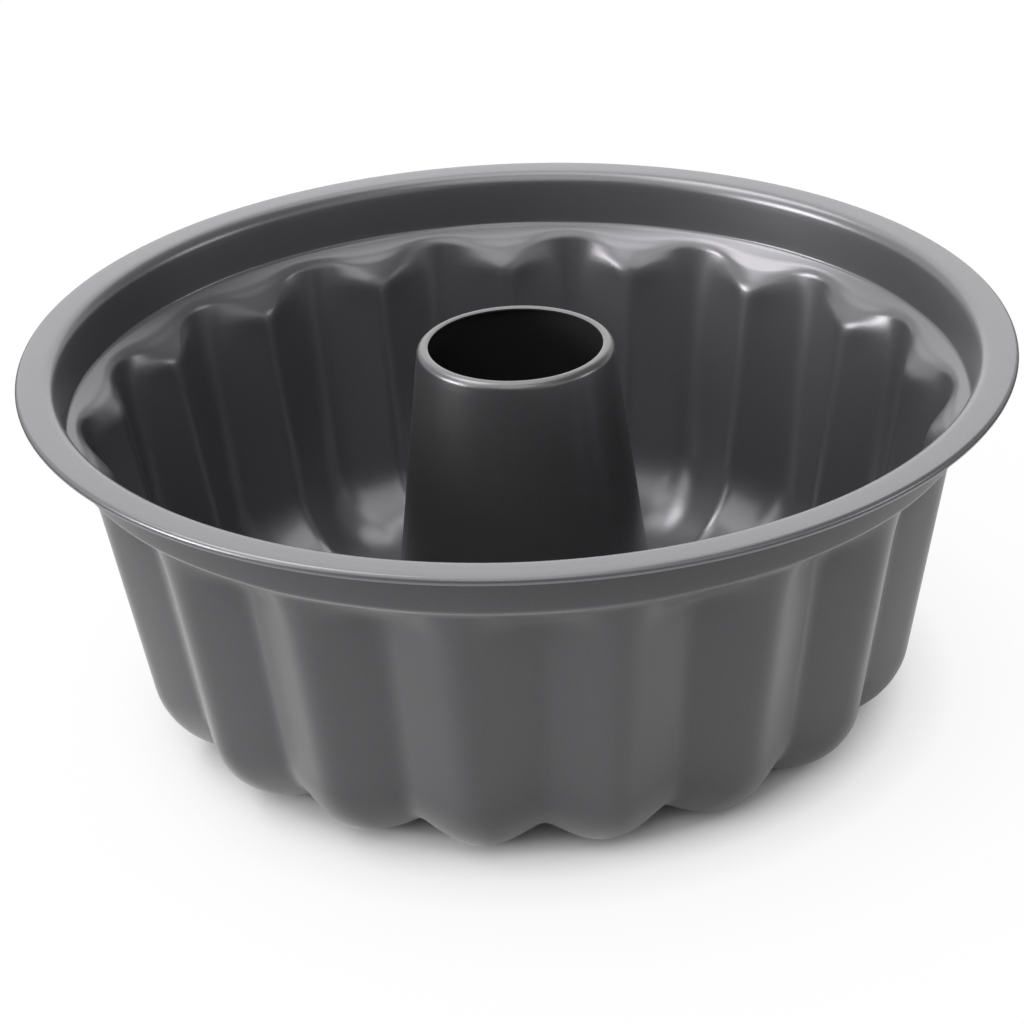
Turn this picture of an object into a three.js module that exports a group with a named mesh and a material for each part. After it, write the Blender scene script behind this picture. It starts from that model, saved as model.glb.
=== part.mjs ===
// Fluted tube pan: a pressed steel shell and a conical tube clinched into its floor.
// Millimetres, +Z up, origin on the table under the tube's axis. A groove faces -Y and a lobe faces +X.
import * as THREE from 'three';
import { mergeVertices } from 'three/addons/utils/BufferGeometryUtils.js';

// Overall size
const panHeight = 96; // from the table to the flange's top
const rimDiameter = 250; // across the curled edge
const shellSheet = 0.6;
const tubeSheet = 0.6;

// Flange with its curled edge
const flangeWidth = 9.3; // from the curl's outside to the collar's top
const flangeCorner = 3;
const curlBore = 0.5;
const curlTurn = 235; // degrees the edge is rolled under

// Collar and shelf
const collarDepth = 14.3; // from the flange's top down to the shelf
const collarInset = 1.4; // how far the collar leans in
const collarFoot = 1.5; // bend where the collar meets the shelf
const shelfWidth = 3.4; // on the lobes
const shelfDrop = 1.7; // fall across the shelf
const shoulderBend = 2.2; // bend from the shelf into the wall

// Fluted wall and floor
const fluteCount = 18;
const fluteDepth = 6.6; // at the wall's top, shallower with the pitch further in
const lobeShare = 0.2; // share of the half pitch that is the lobe's bend
const grooveShare = 0.13; // share that is the groove's bend, with a flat flank between the two
const topShare = 0.5; // both shares at the shelf, where the grooves start wider
const bendShare = 0.75; // the lobe's share at the floor, where the lobes are rounder
const wallInset = 14; // how far the wall leans in from the shelf to the table
const floorBend = 25;
const ridgeStart = 0.5; // share of the flute's depth already there at the shelf
const ridgeEase = 8; // height over which a groove reaches its full depth
const grooveEase = 16; // height over which it reaches its full form
const floorFlat = 12; // flat ring of floor round the tube's seat, where the flutes have died out

// Tube
const tubeTopDiameter = 50;
const tubeTaper = 6.9; // degrees that its side leans from upright
const tubeDrop = 0.4; // from the flange's top down to the tube's lip
const lipBend = 2; // outside radius of the edge rolled in at the top
const lipTurn = 100; // degrees that the edge is rolled in, from level outwards
const footBend = 0.4; // inside radius of the clinched foot's bends

// Clinched joint between the tube and the floor
const seamClearance = 0.3;
const neckInset = 2.4; // step from the tube's side in to its neck
const flareWidth = 4.4; // edge spread under the floor
const flareLift = 1.2; // flare's underside above the table
const seatMargin = 2; // floor beyond the flare before it steps down to the table
const seatRun = 3; // length of that step

// Facets
const stepsPerFlute = 6;
const grooveCrowding = 1.4; // above 1, facets crowd into the grooves
const tubeFacets = 40;
const floorBendSteps = 5;
const cornerSteps = 2;
const curlSteps = 5;
const lipSteps = 4;
const bendRoom = 0.48; // most of a stretch that one bend may take up

const radians = THREE.MathUtils.degToRad;
const clamp = THREE.MathUtils.clamp;
const lerp = THREE.MathUtils.lerp;

// Points along an arc about a centre, angles in degrees from +r towards +z
function arcLine(centre, radius, from, to, steps) {
  return Array.from({ length: steps + 1 }, (unused, step) => {
    const angle = radians(from + ((to - from) * step) / steps);
    return new THREE.Vector2(centre.x + radius * Math.cos(angle), centre.y + radius * Math.sin(angle));
  });
}

// A bend round one corner of a line, kept within the two stretches that it joins
function roundedCorner(before, corner, after, bend, steps) {
  const arriving = corner.clone().sub(before);
  const leaving = after.clone().sub(corner);
  const room = bendRoom * Math.min(arriving.length(), leaving.length());
  arriving.normalize();
  leaving.normalize();
  const turn = Math.atan2(arriving.cross(leaving), arriving.dot(leaving));
  const halfTangent = Math.tan(Math.abs(turn) / 2);
  const radius = Math.min(bend, room / halfTangent);
  const side = Math.sign(turn);
  const start = corner.clone().addScaledVector(arriving, -radius * halfTangent);
  const toCentre = new THREE.Vector2(-arriving.y, arriving.x).multiplyScalar(side * radius);
  const centre = start.clone().add(toCentre);
  const from = THREE.MathUtils.radToDeg(Math.atan2(-toCentre.y, -toCentre.x));
  return arcLine(centre, radius, from, from + THREE.MathUtils.radToDeg(turn), steps);
}

// The middle line of a bent sheet, through corners given as [r, z, bend, steps]
function bentLine(corners) {
  const places = corners.map(([r, z]) => new THREE.Vector2(r, z));
  return corners.flatMap(([, , bend, steps], index) => {
    if (!bend) {
      return [places[index]];
    }
    return roundedCorner(places[index - 1], places[index], places[index + 1], bend, steps);
  });
}

// Unit normals to the left of a line, lengthened at its bends so that an offset keeps the sheet's thickness
function leftNormals(line) {
  const across = (from, to) => new THREE.Vector2(from.y - to.y, to.x - from.x).normalize();
  return line.map((place, index) => {
    const arriving = index > 0 ? across(line[index - 1], place) : across(place, line[index + 1]);
    const leaving = index < line.length - 1 ? across(place, line[index + 1]) : arriving;
    const middle = arriving.clone().add(leaving).normalize();
    return middle.divideScalar(middle.dot(arriving));
  });
}

// A pressed sheet turned about the axis. The press function moves a place of the middle line at each angle.
function pressedSheet(line, sheet, facets, angleOf, press) {
  const normals = leftNormals(line);
  const right = line.map((place, index) => place.clone().addScaledVector(normals[index], -sheet / 2));
  const left = line.map((place, index) => place.clone().addScaledVector(normals[index], sheet / 2));
  const section = [...right, ...left.reverse(), right[0]];
  const middle = [...line, ...line.toReversed(), line[0]];
  const geometry = new THREE.LatheGeometry(section, facets);
  geometry.deleteAttribute('normal');
  geometry.deleteAttribute('uv');
  const position = geometry.getAttribute('position');
  for (let facet = 0; facet <= facets; facet += 1) {
    const angle = angleOf((2 * Math.PI * (facet % facets)) / facets);
    section.forEach((place, index) => {
      const moved = press(middle[index], angle).add(place);
      const vertex = facet * section.length + index;
      position.setXYZ(vertex, moved.x * Math.sin(angle), -moved.x * Math.cos(angle), moved.y);
    });
  }
  return mergeVertices(geometry);
}

// Radii of the shell's middle line, from the curl inwards
const curlRadius = (curlBore + shellSheet) / 2;
const curlCentre = new THREE.Vector2(rimDiameter / 2 - curlRadius - shellSheet / 2, 0);
curlCentre.y = panHeight - shellSheet / 2 - curlRadius;
const collarTop = rimDiameter / 2 - flangeWidth;
const shelfOuter = collarTop - collarInset;
const wallTop = shelfOuter - shelfWidth;
const wallFoot = wallTop - wallInset;

// Heights of the shell's middle line
const floorHeight = shellSheet / 2;
const flangeHeight = panHeight - shellSheet / 2;
const shelfHeight = flangeHeight - collarDepth;
const wallTopHeight = shelfHeight - shelfDrop;
const shelfSlope = Math.atan2(shelfDrop, shelfWidth);
const wallLean = Math.atan2(wallInset, wallTopHeight - floorHeight);

// The tube's clinched foot, and the floor's raised seat that it holds
const flareHeight = flareLift + tubeSheet / 2;
const seatHeight = flareLift + tubeSheet + seamClearance + shellSheet / 2;
const tubeFootHeight = seatHeight + shellSheet / 2 + seamClearance + tubeSheet / 2;
const lipRadius = lipBend - tubeSheet / 2;
const lipHeight = panHeight - tubeDrop - lipBend;
const tubeTop = tubeTopDiameter / 2 - tubeSheet / 2;
const sideTop = lipHeight + lipRadius * Math.sin(radians(tubeTaper));
const tubeFoot = tubeTop + Math.tan(radians(tubeTaper)) * (sideTop - tubeFootHeight);
const neckRadius = tubeFoot - neckInset;
const flareRadius = neckRadius + flareWidth;
const floorHole = neckRadius + tubeSheet / 2 + seamClearance;
const seatRadius = flareRadius + seatMargin;
const seatFoot = seatRadius + seatRun;
const fluteEnd = seatFoot + floorFlat;

// Where the floor's bend meets the floor on a lobe
const bendTangent = floorBend * Math.tan((Math.PI / 2 - wallLean) / 2);
const bendEnd = wallFoot - bendTangent;

// How far a groove has formed at a place below the shelf, from nought to one
function formedAt(place, ease) {
  const downWall = clamp((wallTopHeight - place.y) / ease, 0, 1);
  return Math.sin((downWall * Math.PI) / 2);
}

// How far the wall has turned into the floor at a place, from nought to one
function turnedAt(place) {
  if (place.x < bendEnd) {
    return 1;
  }
  const down = clamp((floorHeight + floorBend - place.y) / floorBend, 0, 1);
  return clamp((Math.asin(down) - wallLean) / (Math.PI / 2 - wallLean), 0, 1);
}

// A flute round the pan: nought on a lobe's crest and one in a groove, two bends with a flat flank between them
function fluteAt(place, angle) {
  const turn = (angle * fluteCount) / (2 * Math.PI);
  const fromLobe = 1 - 2 * Math.abs(turn - Math.round(turn));
  const formed = formedAt(place, grooveEase);
  const lobe = lerp(topShare, lerp(lobeShare, bendShare, turnedAt(place)), formed);
  const groove = lerp(topShare, grooveShare, formed);
  const flank = 1 / (1 - (lobe + groove) / 2);
  if (fromLobe < lobe) {
    return (flank * fromLobe * fromLobe) / (2 * lobe);
  }
  if (fromLobe < 1 - groove) {
    return flank * (fromLobe - lobe / 2);
  }
  return 1 - (flank * (1 - fromLobe) ** 2) / (2 * groove);
}

// How much of the flute's depth a place on the shell has: it grows across the shelf and dies out on the floor
function fluteShare(place) {
  const acrossShelf = clamp((shelfOuter - place.x) / shelfWidth, 0, 1);
  const onFloor = THREE.MathUtils.smoothstep(place.x, fluteEnd, bendEnd);
  return acrossShelf * lerp(ridgeStart, 1, formedAt(place, ridgeEase)) * onFloor;
}

// A groove runs down the shelf, is pushed straight in on the wall, and turns up through the bend onto the floor
function pressFlute(place, angle) {
  const deepest = fluteDepth * Math.min(place.x / wallTop, 1);
  const depth = deepest * fluteAt(place, angle) * fluteShare(place);
  const upBend = (turnedAt(place) * Math.PI) / 2;
  const lift = upBend - shelfSlope * (1 - formedAt(place, ridgeEase));
  return new THREE.Vector2(-depth * Math.cos(lift), depth * Math.sin(lift));
}

// Facets crowd towards the grooves, where the bend is tightest
function crowdedAngle(angle) {
  const pitch = (2 * Math.PI) / fluteCount;
  const groove = Math.round(angle / pitch) * pitch;
  const off = (angle - groove) / (pitch / 2);
  return groove + Math.sign(off) * (pitch / 2) * Math.abs(off) ** grooveCrowding;
}

// A place of the wall's straight stretch on a lobe, at a depth below the shelf
function wallAt(depth) {
  return [wallTop - depth * Math.tan(wallLean), wallTopHeight - depth];
}

function panShell() {
  const pressed = bentLine([
    [floorHole, seatHeight],
    [seatRadius, seatHeight],
    [seatFoot, floorHeight],
    [fluteEnd, floorHeight],
    [wallFoot, floorHeight, floorBend, floorBendSteps],
    wallAt(grooveEase),
    wallAt(ridgeEase),
    [wallTop, wallTopHeight, shoulderBend, cornerSteps],
    [shelfOuter, shelfHeight, collarFoot, 1],
    [collarTop, flangeHeight, flangeCorner, cornerSteps],
    [curlCentre.x, flangeHeight],
  ]);
  const curl = arcLine(curlCentre, curlRadius, 90, 90 - curlTurn, curlSteps);
  const line = [...pressed, ...curl.slice(1)];
  return pressedSheet(line, shellSheet, fluteCount * stepsPerFlute, crowdedAngle, pressFlute);
}

function centreTube() {
  const lipCentre = new THREE.Vector2(tubeTop - lipRadius * Math.cos(radians(tubeTaper)), lipHeight);
  const lip = arcLine(lipCentre, lipRadius, lipTurn, tubeTaper, lipSteps);
  const footRadius = footBend + tubeSheet / 2;
  const side = bentLine([
    [tubeTop, sideTop],
    [tubeFoot, tubeFootHeight, footRadius, cornerSteps],
    [neckRadius, tubeFootHeight, footRadius, cornerSteps],
    [neckRadius, flareHeight, footRadius, cornerSteps],
    [flareRadius, flareHeight],
  ]);
  const line = [...lip, ...side.slice(1)];
  const plain = () => new THREE.Vector2(0, 0);
  return pressedSheet(line, tubeSheet, tubeFacets, (angle) => angle, plain);
}

// Dark grey satin non-stick finish
function namedPiece(name, geometry, colour, roughness) {
  const finish = new THREE.MeshStandardMaterial({ color: colour, roughness, metalness: 0.6 });
  const piece = new THREE.Mesh(geometry, finish);
  piece.name = name;
  return piece;
}

const pan = new THREE.Group();
pan.add(namedPiece('pan_shell', panShell(), 0x55555a, 0.42));
pan.add(namedPiece('centre_tube', centreTube(), 0x47474b, 0.48));

export default pan;
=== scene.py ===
import bpy
import math
from mathutils import Matrix, Vector


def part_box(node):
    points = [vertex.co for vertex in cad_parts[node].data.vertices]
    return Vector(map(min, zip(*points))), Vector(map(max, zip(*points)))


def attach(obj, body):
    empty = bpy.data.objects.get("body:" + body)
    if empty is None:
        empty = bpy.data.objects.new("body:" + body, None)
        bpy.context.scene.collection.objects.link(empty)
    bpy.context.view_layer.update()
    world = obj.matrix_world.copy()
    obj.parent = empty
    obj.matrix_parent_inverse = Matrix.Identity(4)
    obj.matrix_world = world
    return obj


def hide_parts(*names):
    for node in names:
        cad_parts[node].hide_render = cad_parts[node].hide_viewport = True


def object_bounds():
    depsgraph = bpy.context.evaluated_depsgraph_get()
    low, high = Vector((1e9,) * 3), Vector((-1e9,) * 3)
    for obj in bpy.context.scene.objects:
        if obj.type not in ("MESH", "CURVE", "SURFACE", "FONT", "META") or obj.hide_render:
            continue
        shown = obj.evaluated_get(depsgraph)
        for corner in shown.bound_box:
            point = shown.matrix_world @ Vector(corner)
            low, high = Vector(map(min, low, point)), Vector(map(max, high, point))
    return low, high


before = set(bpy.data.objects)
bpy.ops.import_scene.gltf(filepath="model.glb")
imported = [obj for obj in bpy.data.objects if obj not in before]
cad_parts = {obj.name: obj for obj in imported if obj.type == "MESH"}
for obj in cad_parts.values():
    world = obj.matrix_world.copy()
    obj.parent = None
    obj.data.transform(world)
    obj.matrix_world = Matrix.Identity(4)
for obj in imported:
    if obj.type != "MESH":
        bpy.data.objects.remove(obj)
cadBox = [list(corner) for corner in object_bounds()]
mm = 0.001
print("frame loaded:", sorted(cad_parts))

bpy.context.scene.view_settings.view_transform = "Standard"


# Sheet lines and pressings, worked in millimetres as (r, z)

sheetMaking = {
    "mitreLimit": 0.5,  # keeps the two skins close at a sharp corner
    "sharpEdge": 50,  # degrees, met only at the sheet's cut edges
}


def arcLine(centre, radius, fromAngle, toAngle, steps):
    line = []
    for step in range(steps + 1):
        angle = math.radians(fromAngle + (toAngle - fromAngle) * step / steps)
        line.append(centre + radius * Vector((math.cos(angle), math.sin(angle))))
    return line


def roundedCorner(before, corner, after, bend, steps):
    arriving = (corner - before).normalized()
    leaving = (after - corner).normalized()
    turn = math.atan2(arriving.x * leaving.y - arriving.y * leaving.x, arriving.dot(leaving))
    tangent = bend * math.tan(abs(turn) / 2)
    toCentre = Vector((-arriving.y, arriving.x)) * math.copysign(bend, turn)
    start = corner - arriving * tangent
    fromAngle = math.degrees(math.atan2(-toCentre.y, -toCentre.x))
    return arcLine(start + toCentre, bend, fromAngle, fromAngle + math.degrees(turn), steps)


def bentLine(corners):  # each corner is (r, z) or (r, z, bend, steps)
    line = []
    for index, corner in enumerate(corners):
        place = Vector(corner[:2])
        if len(corner) == 2:
            line.append(place)
            continue
        before = Vector(corners[index - 1][:2])
        after = Vector(corners[index + 1][:2])
        line += roundedCorner(before, place, after, corner[2], corner[3])
    return line


def fineLine(line, longest):  # splits the long straight stretches
    fine = [line[0]]
    for start, end in zip(line, line[1:]):
        pieces = max(1, math.ceil((end - start).length / longest))
        fine += [start.lerp(end, step / pieces) for step in range(1, pieces + 1)]
    return fine


def leftNormals(line):
    normals = []
    for index, place in enumerate(line):
        before = line[max(index - 1, 0)]
        after = line[min(index + 1, len(line) - 1)]
        arriving = (place - before if index else after - place).normalized()
        leaving = (after - place if index < len(line) - 1 else place - before).normalized()
        along = (arriving + leaving).normalized()
        mitre = max(along.dot(arriving), sheetMaking["mitreLimit"])
        normals.append(Vector((-along.y, along.x)) / mitre)
    return normals


def turnedSheet(name, line, sheet, angles, press, materials):
    normals = leftNormals(line)
    outer = [(place, place - normal * sheet / 2) for place, normal in zip(line, normals)]
    inner = [(place, place + normal * sheet / 2) for place, normal in zip(line, normals)]
    section = outer + inner[::-1]
    rows = len(section)
    vertices = []
    for angle in angles:
        for middle, skin in section:
            moved = skin + press(middle, angle)
            x = moved.x * math.sin(angle) * mm
            y = -moved.x * math.cos(angle) * mm
            vertices.append((x, y, moved.y * mm))
    faces = []
    skins = []
    for column in range(len(angles)):
        nextColumn = (column + 1) % len(angles)
        for row in range(rows):
            nextRow = (row + 1) % rows
            faces.append((
                column * rows + row,
                nextColumn * rows + row,
                nextColumn * rows + nextRow,
                column * rows + nextRow,
            ))
            skins.append(1 if row >= len(outer) - 1 else 0)
    mesh = bpy.data.meshes.new(name)
    mesh.from_pydata(vertices, [], faces)
    for material in materials:
        mesh.materials.append(material)
    mesh.polygons.foreach_set("material_index", skins)
    mesh.shade_smooth()
    mesh.set_sharp_from_angle(angle=math.radians(sheetMaking["sharpEdge"]))
    mesh.update()
    piece = bpy.data.objects.new(name, mesh)
    bpy.context.scene.collection.objects.link(piece)
    return piece


# Camera at the photograph's angle

cameraLook = {
    "aim": (-2.7, 0.0, 48.0),  # mm, just left of the tube's axis
    "distance": 825.2,  # mm
    "azimuth": 1.15,  # degrees, as the next two
    "elevation": 27.17,
    "roll": -2.52,
    "lens": 112.5,
    "sensor": 36,  # mm
    "nearest": 10,  # mm
}


def makeCamera(look):
    azimuth = math.radians(look["azimuth"])
    elevation = math.radians(look["elevation"])
    roll = math.radians(look["roll"])
    ahead = Vector((
        math.sin(azimuth) * math.cos(elevation),
        math.cos(azimuth) * math.cos(elevation),
        -math.sin(elevation),
    ))
    level = Vector((math.cos(azimuth), -math.sin(azimuth), 0))
    upright = level.cross(ahead)
    right = level * math.cos(roll) + upright * math.sin(roll)
    up = upright * math.cos(roll) - level * math.sin(roll)
    eye = Vector(look["aim"]) * mm - ahead * look["distance"] * mm
    camera = bpy.data.objects.new("camera", bpy.data.cameras.new("camera"))
    camera.data.lens = look["lens"]
    camera.data.sensor_width = look["sensor"]
    camera.data.clip_start = look["nearest"] * mm
    camera.matrix_world = Matrix((
        (right.x, up.x, -ahead.x, eye.x),
        (right.y, up.y, -ahead.y, eye.y),
        (right.z, up.z, -ahead.z, eye.z),
        (0, 0, 0, 1),
    ))
    bpy.context.scene.collection.objects.link(camera)
    bpy.context.scene.camera = camera


makeCamera(cameraLook)
print("camera set")


# Finishes

coatMaking = {
    "noiseLow": 0.3,  # most of the noise lies between these two
    "noiseHigh": 0.7,
    "grainDetail": 2,
    "cloudDetail": 3,
    "sheenRough": 0.4,
}


def newMaterial(name):
    material = bpy.data.materials.new(name)
    material.use_nodes = True
    nodes = material.node_tree.nodes
    return material, nodes, material.node_tree.links, nodes["Principled BSDF"]


def addNoise(nodes, links, coords, scale, detail):
    noise = nodes.new("ShaderNodeTexNoise")
    noise.inputs["Scale"].default_value = scale
    noise.inputs["Detail"].default_value = detail
    links.new(coords.outputs["Object"], noise.inputs["Vector"])
    return noise


def addRange(nodes, links, source, low, high):
    spread = nodes.new("ShaderNodeMapRange")
    spread.inputs["From Min"].default_value = coatMaking["noiseLow"]
    spread.inputs["From Max"].default_value = coatMaking["noiseHigh"]
    spread.inputs["To Min"].default_value = low
    spread.inputs["To Max"].default_value = high
    links.new(source.outputs["Fac"], spread.inputs["Value"])
    return spread


def coatMaterial(name, coat):
    material, nodes, links, shader = newMaterial(name)
    coords = nodes.new("ShaderNodeTexCoord")
    grain = addNoise(nodes, links, coords, 1 / (coat["grain"] * mm), coatMaking["grainDetail"])
    cloud = addNoise(nodes, links, coords, 1 / (coat["cloud"] * mm), coatMaking["cloudDetail"])

    # fine speckle of the sprayed coat
    tone = nodes.new("ShaderNodeValToRGB")
    tone.color_ramp.elements[0].position = coatMaking["noiseLow"]
    tone.color_ramp.elements[0].color = (*coat["dark"], 1)
    tone.color_ramp.elements[1].position = coatMaking["noiseHigh"]
    tone.color_ramp.elements[1].color = (*coat["light"], 1)
    links.new(grain.outputs["Fac"], tone.inputs["Fac"])
    links.new(tone.outputs["Color"], shader.inputs["Base Color"])

    # gloss drifts a little from place to place
    gloss = addRange(nodes, links, cloud, coat["roughLow"], coat["roughHigh"])
    links.new(gloss.outputs["Result"], shader.inputs["Roughness"])

    bump = nodes.new("ShaderNodeBump")
    bump.inputs["Strength"].default_value = coat["bump"]
    bump.inputs["Distance"].default_value = coat["bumpDepth"] * mm
    links.new(grain.outputs["Fac"], bump.inputs["Height"])
    links.new(bump.outputs["Normal"], shader.inputs["Normal"])
    shader.inputs["IOR"].default_value = coat["ior"]
    shader.inputs["Specular Tint"].default_value = (*coat["tint"], 1)
    shader.inputs["Sheen Weight"].default_value = coat["sheen"]
    shader.inputs["Sheen Roughness"].default_value = coatMaking["sheenRough"]
    return material


outsideCoat = {
    "dark": (0.035, 0.035, 0.037),
    "light": (0.046, 0.046, 0.049),
    "grain": 0.35,  # mm
    "cloud": 30,  # mm
    "roughLow": 0.29,
    "roughHigh": 0.33,
    "bump": 0.35,
    "bumpDepth": 0.06,  # mm
    "ior": 1.6,
    "tint": (0.975, 0.97, 1.0),
    "sheen": 0.35,
}
insideCoat = {
    "dark": (0.065, 0.065, 0.069),
    "light": (0.085, 0.085, 0.090),
    "grain": 0.35,
    "cloud": 24,
    "roughLow": 0.285,
    "roughHigh": 0.315,
    "bump": 0.2,
    "bumpDepth": 0.03,
    "ior": 1.95,
    "tint": (0.975, 0.955, 1.0),
    "sheen": 0.0,
}
tubeCoat = {
    "dark": (0.028, 0.028, 0.029),
    "light": (0.043, 0.043, 0.045),
    "grain": 0.4,
    "cloud": 20,
    "roughLow": 0.285,
    "roughHigh": 0.32,
    "bump": 0.35,
    "bumpDepth": 0.06,
    "ior": 2.0,
    "tint": (0.985, 0.98, 1.0),
    "sheen": 0.0,
}
# painted shade: the tube's bore gets a near black, dull coat that stands in for the shade inside the
# hole
boreShadeCoat = {
    "dark": (0.012, 0.012, 0.012),
    "light": (0.018, 0.018, 0.018),
    "grain": 0.4,
    "cloud": 20,
    "roughLow": 0.5,
    "roughHigh": 0.6,
    "bump": 0.3,
    "bumpDepth": 0.05,
    "ior": 1.4,
    "tint": (1.0, 1.0, 1.0),
    "sheen": 0.0,
}
outsideMaterial = coatMaterial("outside_coat", outsideCoat)
insideMaterial = coatMaterial("inside_coat", insideCoat)
tubeMaterial = coatMaterial("tube_coat", tubeCoat)
boreShadeMaterial = coatMaterial("bore_painted_shade", boreShadeCoat)
print("finishes made")


# Tube with its rolled lip and clinched foot

tubeSize = {
    "topRadius": 25,
    "taper": 6.9,  # degrees from upright
    "drop": 0.4,  # lip below the flange's top
    "sheet": 0.6,
    "lipBend": 2.0,  # outside radius of the rolled lip
    "lipTurn": 118,  # degrees, from level outwards
    "footBend": 0.4,
    "clearance": 0.3,
    "neckInset": 2.4,
    "flareWidth": 4.4,
    "flareLift": 1.2,
    "columns": 144,
    "longest": 3.0,
    "lipSteps": 14,
    "footSteps": 6,
}
shellSheet = 0.6
panHeight = cadBox[1][2] / mm

flareHeight = tubeSize["flareLift"] + tubeSize["sheet"] / 2
seatHeight = flareHeight + tubeSize["sheet"] / 2 + tubeSize["clearance"] + shellSheet / 2
tubeFootHeight = seatHeight + shellSheet / 2 + tubeSize["clearance"] + tubeSize["sheet"] / 2
tubeLean = math.radians(tubeSize["taper"])
lipRadius = tubeSize["lipBend"] - tubeSize["sheet"] / 2
lipHeight = panHeight - tubeSize["drop"] - tubeSize["lipBend"]
tubeTop = tubeSize["topRadius"] - tubeSize["sheet"] / 2
sideTop = lipHeight + lipRadius * math.sin(tubeLean)
tubeFoot = tubeTop + math.tan(tubeLean) * (sideTop - tubeFootHeight)
neckRadius = tubeFoot - tubeSize["neckInset"]
flareRadius = neckRadius + tubeSize["flareWidth"]


def evenAngles(columns):
    return [2 * math.pi * column / columns for column in range(columns)]


def unpressed(place, angle):
    return Vector((0, 0))


def makeTube(size):
    lipCentre = Vector((tubeTop - lipRadius * math.cos(tubeLean), lipHeight))
    footRadius = size["footBend"] + size["sheet"] / 2
    lip = arcLine(lipCentre, lipRadius, size["lipTurn"], size["taper"], size["lipSteps"])
    side = bentLine([
        (tubeTop, sideTop),
        (tubeFoot, tubeFootHeight, footRadius, size["footSteps"]),
        (neckRadius, tubeFootHeight, footRadius, size["footSteps"]),
        (neckRadius, flareHeight, footRadius, size["footSteps"]),
        (flareRadius, flareHeight),
    ])
    line = fineLine(lip + side[1:], size["longest"])
    tube = turnedSheet(
        "centre_tube_sheet", line, size["sheet"], evenAngles(size["columns"]), unpressed,
        # the bore side takes the painted-shade coat
        [boreShadeMaterial, tubeMaterial],
    )
    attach(tube, "root")
    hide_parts("centre_tube")


makeTube(tubeSize)
print("tube made")


# Pressed shell: floor, fluted wall, shelf, collar, flange and curl

shellSize = {
    "flangeWidth": 9.3,
    "flangeCorner": 3.0,
    "curlBore": 1.1,  # across the empty curl
    "curlTurn": 235,  # degrees
    "collarDepth": 14.3,
    "collarInset": 1.4,
    "collarFoot": 1.5,
    "shelfWidth": 3.4,
    "shelfDrop": 1.7,
    "shoulderBend": 3.6,
    "flutes": 18,
    "fluteDepth": 6.6,  # at the wall's top, shallower with the pitch below
    "lobeShare": 0.2,  # of the half pitch
    "grooveShare": 0.13,
    "topShare": 0.5,  # both, at the shelf
    "bendShare": 0.75,  # the lobes, at the floor
    "grooveEase": 16,
    "wallInset": 14,
    "floorBend": 25,
    "ridgeStart": 0.5,
    "ridgeEase": 8,
    "floorFlat": 12,
    "seatMargin": 2,
    "seatRun": 3,
    "seatBend": 0.8,
    "columnsPerFlute": 28,
    "grooveCrowding": 1.5,
    "longest": 2.0,
    "seatSteps": 4,
    "floorSteps": 24,
    "shoulderSteps": 10,
    "collarSteps": 6,
    "flangeSteps": 8,
    "curlSteps": 20,
}

rimRadius = (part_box("pan_shell")[1].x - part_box("pan_shell")[0].x) / 2 / mm
curlRadius = (shellSize["curlBore"] + shellSheet) / 2
curlCentre = Vector((rimRadius - curlRadius - shellSheet / 2, panHeight - shellSheet / 2 - curlRadius))
collarTop = rimRadius - shellSize["flangeWidth"]
shelfOuter = collarTop - shellSize["collarInset"]
wallTop = shelfOuter - shellSize["shelfWidth"]
wallFoot = wallTop - shellSize["wallInset"]
floorHeight = shellSheet / 2
flangeHeight = panHeight - shellSheet / 2
shelfHeight = flangeHeight - shellSize["collarDepth"]
wallTopHeight = shelfHeight - shellSize["shelfDrop"]
shelfSlope = math.atan2(shellSize["shelfDrop"], shellSize["shelfWidth"])
wallLean = math.atan2(shellSize["wallInset"], wallTopHeight - floorHeight)
bendEnd = wallFoot - shellSize["floorBend"] * math.tan((math.pi / 2 - wallLean) / 2)
floorHole = neckRadius + tubeSize["sheet"] / 2 + tubeSize["clearance"]
seatRadius = flareRadius + shellSize["seatMargin"]
seatFoot = seatRadius + shellSize["seatRun"]
fluteEnd = seatFoot + shellSize["floorFlat"]


def share(value):
    return min(max(value, 0), 1)


def formedAt(place, ease):  # how far a groove has formed below the shelf
    return math.sin(share((wallTopHeight - place.y) / ease) * math.pi / 2)


def turnedAt(place):  # how far the wall has turned into the floor
    if place.x < bendEnd:
        return 1
    down = share((floorHeight + shellSize["floorBend"] - place.y) / shellSize["floorBend"])
    return share((math.asin(down) - wallLean) / (math.pi / 2 - wallLean))


def between(low, high, value):
    return low + (high - low) * value


def fluteAt(place, angle):  # nought on a lobe's crest, one in a groove
    turn = angle * shellSize["flutes"] / (2 * math.pi)
    fromLobe = 1 - 2 * abs(turn - round(turn))
    formed = formedAt(place, shellSize["grooveEase"])
    lowLobe = between(shellSize["lobeShare"], shellSize["bendShare"], turnedAt(place))
    lobe = between(shellSize["topShare"], lowLobe, formed)
    groove = between(shellSize["topShare"], shellSize["grooveShare"], formed)
    flank = 1 / (1 - (lobe + groove) / 2)  # slope of the flat between the two bends
    if fromLobe < lobe:
        return flank * fromLobe ** 2 / (2 * lobe)
    if fromLobe < 1 - groove:
        return flank * (fromLobe - lobe / 2)
    return 1 - flank * (1 - fromLobe) ** 2 / (2 * groove)


def fluteShare(place):  # grows over the shelf, dies out on the floor
    acrossShelf = share((shelfOuter - place.x) / shellSize["shelfWidth"])
    below = between(shellSize["ridgeStart"], 1, formedAt(place, shellSize["ridgeEase"]))
    onFloor = share((place.x - fluteEnd) / (bendEnd - fluteEnd))
    return acrossShelf * below * onFloor * onFloor * (3 - 2 * onFloor)


def pressFlute(place, angle):  # down the shelf, straight in on the wall, up through the bend
    scale = shellSize["fluteDepth"] * min(place.x / wallTop, 1)
    depth = scale * fluteAt(place, angle) * fluteShare(place)
    lift = turnedAt(place) * math.pi / 2 - shelfSlope * (1 - formedAt(place, shellSize["ridgeEase"]))
    return Vector((-depth * math.cos(lift), depth * math.sin(lift)))


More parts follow.
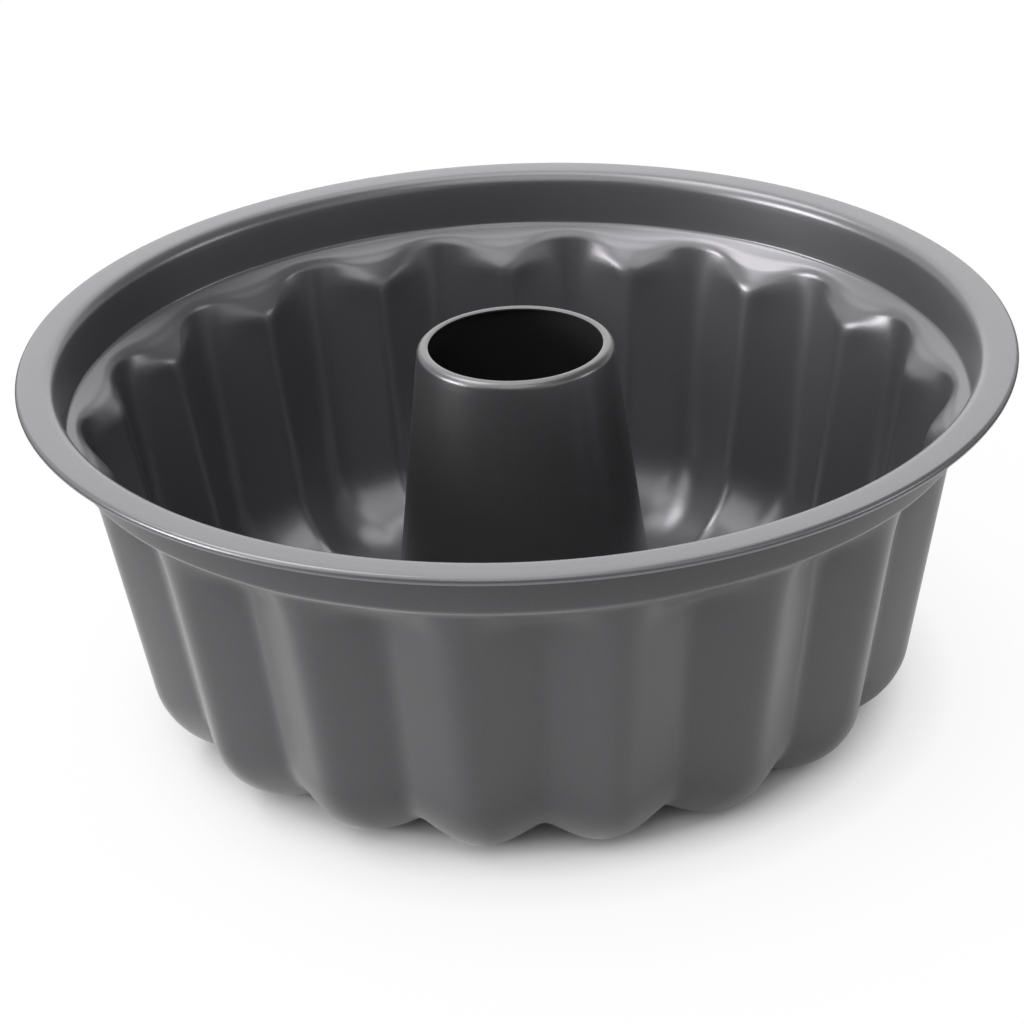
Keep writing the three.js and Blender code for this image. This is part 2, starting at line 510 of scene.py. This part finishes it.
def crowdedAngles(flutes, columnsPerFlute, crowding):  # more columns in the grooves
    pitch = 2 * math.pi / flutes
    angles = []
    for angle in evenAngles(flutes * columnsPerFlute):
        groove = round(angle / pitch) * pitch
        off = (angle - groove) / (pitch / 2)
        angles.append(groove + math.copysign(pitch / 2 * abs(off) ** crowding, off))
    return angles


def makeShell(size):
    pressed = bentLine([
        (floorHole, seatHeight),
        (seatRadius, seatHeight, size["seatBend"], size["seatSteps"]),
        (seatFoot, floorHeight, size["seatBend"], size["seatSteps"]),
        (fluteEnd, floorHeight),
        (wallFoot, floorHeight, size["floorBend"], size["floorSteps"]),
        (wallTop, wallTopHeight, size["shoulderBend"], size["shoulderSteps"]),
        (shelfOuter, shelfHeight, size["collarFoot"], size["collarSteps"]),
        (collarTop, flangeHeight, size["flangeCorner"], size["flangeSteps"]),
        (curlCentre.x, flangeHeight),
    ])
    curl = arcLine(curlCentre, curlRadius, 90, 90 - size["curlTurn"], size["curlSteps"])
    line = fineLine(pressed + curl[1:], size["longest"])
    angles = crowdedAngles(size["flutes"], size["columnsPerFlute"], size["grooveCrowding"])
    shell = turnedSheet(
        "pan_shell_sheet", line, shellSheet, angles, pressFlute, [outsideMaterial, insideMaterial]
    )
    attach(shell, "root")
    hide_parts("pan_shell")


makeShell(shellSize)
print("shell made")


# Pale floor and soft studio light

studio = {
    "floorRadius": 12.0,  # m
    "floorSides": 96,
    "floorColour": (0.95, 0.95, 0.95),
    "floorRough": 0.9,
    "ambient": 0.1,
    "paleReach": 0.14,  # m from the pan's axis
    "pale": (  # share of that reach, and how far the floor is painted white to the eye there, covering its shade
        (0.57, 0.0), (0.61, 0.07), (0.635, 0.24), (0.665, 0.44),
        (0.71, 0.70), (0.80, 0.90), (1.0, 0.96),
    ),
    "mirrored": ((0.64, 0.0), (0.72, 0.25), (0.86, 1.0)),  # the same, as the metal mirrors it
    "tableReach": 0.5,  # m from the pan's axis
    "table": ((0.47, 1.0), (0.60, 0.10)),  # how bright the mirrored floor is, dark further out
    "dimmed": (  # unlit parts of the studio, from one facing to another, and how bright they stay
        ((-0.25, -0.86, 0.44), 0.70, 0.92, 0.15),  # towards the camera
        ((0.75, 0.1, 0.65), 0.70, 0.88, 0.35),  # the upper right side
    ),
}
softLamps = {  # direction to the lamp, width in degrees, strength
    "left": ((-0.966, -0.21, 0.15), 26, 2.2),
    "right": ((0.985, -0.12, 0.12), 20, 0.35),
    "front_left": ((-0.70, -0.45, 0.55), 36, 0.4),
    "front": ((-0.08, -0.66, 0.747), 46, 0.85),
    "strip_front": ((-0.50, -0.05, 0.86), 26, 0.45),
    "strip": ((-0.42, 0.26, 0.87), 26, 0.9),
    "overhead": ((0.08, 0.20, 0.977), 40, 0.65),
    "behind": ((0.0, 0.88, 0.47), 56, 0.6),
}


def addMath(nodes, links, operation, first, second):
    result = nodes.new("ShaderNodeMath")
    result.operation = operation
    for source, socket in ((first, result.inputs[0]), (second, result.inputs[1])):
        if isinstance(source, float):
            socket.default_value = source
        else:
            links.new(source, socket)
    return result.outputs["Value"]


def addRise(nodes, links, distance, stops):  # white share at shares of the reach
    rise = nodes.new("ShaderNodeValToRGB")
    while len(rise.color_ramp.elements) < len(stops):
        rise.color_ramp.elements.new(0.5)
    for element, (position, level) in zip(rise.color_ramp.elements, stops):
        element.position = position
        element.color = (level, level, level, 1)
    links.new(distance, rise.inputs["Fac"])
    return rise.outputs["Color"]


def addSight(nodes, links):  # what the eye sees, and what a shiny surface mirrors
    path = nodes.new("ShaderNodeLightPath")
    straight = path.outputs["Is Camera Ray"]
    through = path.outputs["Is Transmission Ray"]
    return addMath(nodes, links, "MAXIMUM", straight, through), path.outputs["Is Glossy Ray"]


def makeFloor(size):
    bpy.ops.mesh.primitive_circle_add(
        vertices=size["floorSides"], radius=size["floorRadius"], fill_type="NGON"
    )
    floor = bpy.context.object
    floor.name = "floor"
    material, nodes, links, shader = newMaterial("pale_floor")
    shader.inputs["Base Color"].default_value = (*size["floorColour"], 1)
    shader.inputs["Roughness"].default_value = size["floorRough"]
    shader.inputs["Specular IOR Level"].default_value = 0.0

    # the floor keeps its real shade round the pan's foot; outwards a painted white glow covers that
    # shade
    coords = nodes.new("ShaderNodeTexCoord")
    radius = nodes.new("ShaderNodeVectorMath")
    radius.operation = "LENGTH"
    links.new(coords.outputs["Object"], radius.inputs[0])
    straight, glossy = addSight(nodes, links)
    distance = addMath(nodes, links, "DIVIDE", radius.outputs["Value"], size["paleReach"])
    seen = addRise(nodes, links, distance, size["pale"])
    mirrored = addRise(nodes, links, distance, size["mirrored"])
    paleShare = addMath(
        nodes, links, "ADD",
        addMath(nodes, links, "MULTIPLY", straight, seen),
        addMath(nodes, links, "MULTIPLY", glossy, mirrored),
    )
    tableDistance = addMath(nodes, links, "DIVIDE", radius.outputs["Value"], size["tableReach"])
    table = addRise(nodes, links, tableDistance, size["table"])
    white = nodes.new("ShaderNodeEmission")
    links.new(addMath(nodes, links, "MAXIMUM", straight, table), white.inputs["Strength"])
    mix = nodes.new("ShaderNodeMixShader")
    links.new(paleShare, mix.inputs["Fac"])
    links.new(shader.outputs["BSDF"], mix.inputs[1])
    links.new(white.outputs["Emission"], mix.inputs[2])
    links.new(mix.outputs["Shader"], nodes["Material Output"].inputs["Surface"])
    floor.data.materials.append(material)


def addUnlit(nodes, links, coords, zone):
    towards, start, end, level = zone
    facing = nodes.new("ShaderNodeVectorMath")
    facing.operation = "DOT_PRODUCT"
    facing.inputs[1].default_value = towards
    links.new(coords.outputs["Generated"], facing.inputs[0])
    unlit = nodes.new("ShaderNodeMapRange")
    unlit.interpolation_type = "SMOOTHSTEP"
    unlit.inputs["From Min"].default_value = start
    unlit.inputs["From Max"].default_value = end
    unlit.inputs["To Min"].default_value = 1
    unlit.inputs["To Max"].default_value = level
    links.new(facing.outputs["Value"], unlit.inputs["Value"])
    return unlit.outputs["Result"]


def makeWorld(ambient, dimmed):  # white to the eye and in reflections, softer as light
    world = bpy.data.worlds.new("studio")
    bpy.context.scene.world = world
    world.use_nodes = True
    nodes = world.node_tree.nodes
    links = world.node_tree.links
    background = nodes["Background"]
    background.inputs["Color"].default_value = (1, 1, 1, 1)
    straight, mirrored = addSight(nodes, links)
    coords = nodes.new("ShaderNodeTexCoord")
    for zone in dimmed:
        mirrored = addMath(nodes, links, "MULTIPLY", mirrored, addUnlit(nodes, links, coords, zone))
    seen = addMath(nodes, links, "MAXIMUM", straight, mirrored)
    links.new(addMath(nodes, links, "MAXIMUM", seen, ambient), background.inputs["Strength"])


def makeLamp(name, toLamp, width, strength):
    lamp = bpy.data.objects.new(name, bpy.data.lights.new(name, "SUN"))
    lamp.data.angle = math.radians(width)
    lamp.data.energy = strength
    lamp.rotation_mode = "QUATERNION"
    lamp.rotation_quaternion = Vector(toLamp).to_track_quat("Z", "Y")
    bpy.context.scene.collection.objects.link(lamp)


makeFloor(studio)
makeWorld(studio["ambient"], studio["dimmed"])
for lampName, (toLamp, width, strength) in softLamps.items():
    makeLamp(lampName, toLamp, width, strength)
print("studio made")
